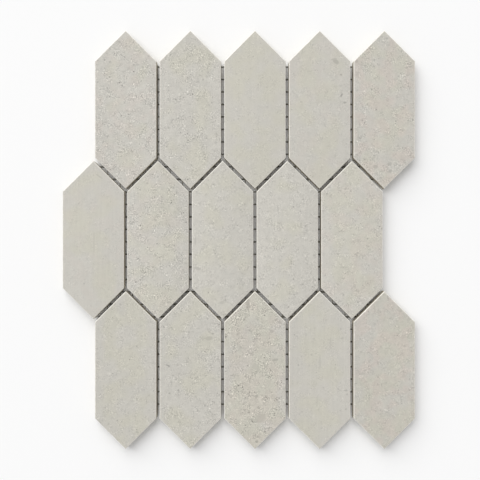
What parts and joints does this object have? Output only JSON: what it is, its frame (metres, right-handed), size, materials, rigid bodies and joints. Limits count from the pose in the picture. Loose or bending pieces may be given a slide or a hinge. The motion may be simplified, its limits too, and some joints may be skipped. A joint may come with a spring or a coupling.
{
  "type": "picket mosaic tile sheet",
  "caption": "Mesh-mounted sheet of matte porcelain picket tiles, elongated hexagons in staggered rows with even joints and keyed backs.",
  "frame": {"origin": "under the middle of the sheet's outline, at the underside of the mesh", "axes": "+X to the right across the rows, +Y along the tiles' length towards the top row, +Z out of the tiles' faces"},
  "size_m": [0.278, 0.3302, 0.0098],
  "materials": {
    "porcelain": "matte, unglazed stone look, edges cut and eased",
    "scrim": "resin-coated glass-fibre mesh"
  },
  "bodies": {
    "root": {"picket_top_1": "porcelain", "picket_top_2": "porcelain", "picket_top_3": "porcelain", "picket_top_4": "porcelain", "picket_top_5": "porcelain", "picket_middle_1": "porcelain", "picket_middle_2": "porcelain", "picket_middle_3": "porcelain", "picket_middle_4": "porcelain", "picket_middle_5": "porcelain", "picket_bottom_1": "porcelain", "picket_bottom_2": "porcelain", "picket_bottom_3": "porcelain", "picket_bottom_4": "porcelain", "picket_bottom_5": "porcelain", "mesh_backing_upper": "scrim", "mesh_backing_lower": "scrim"}
  },
  "joints": []
}
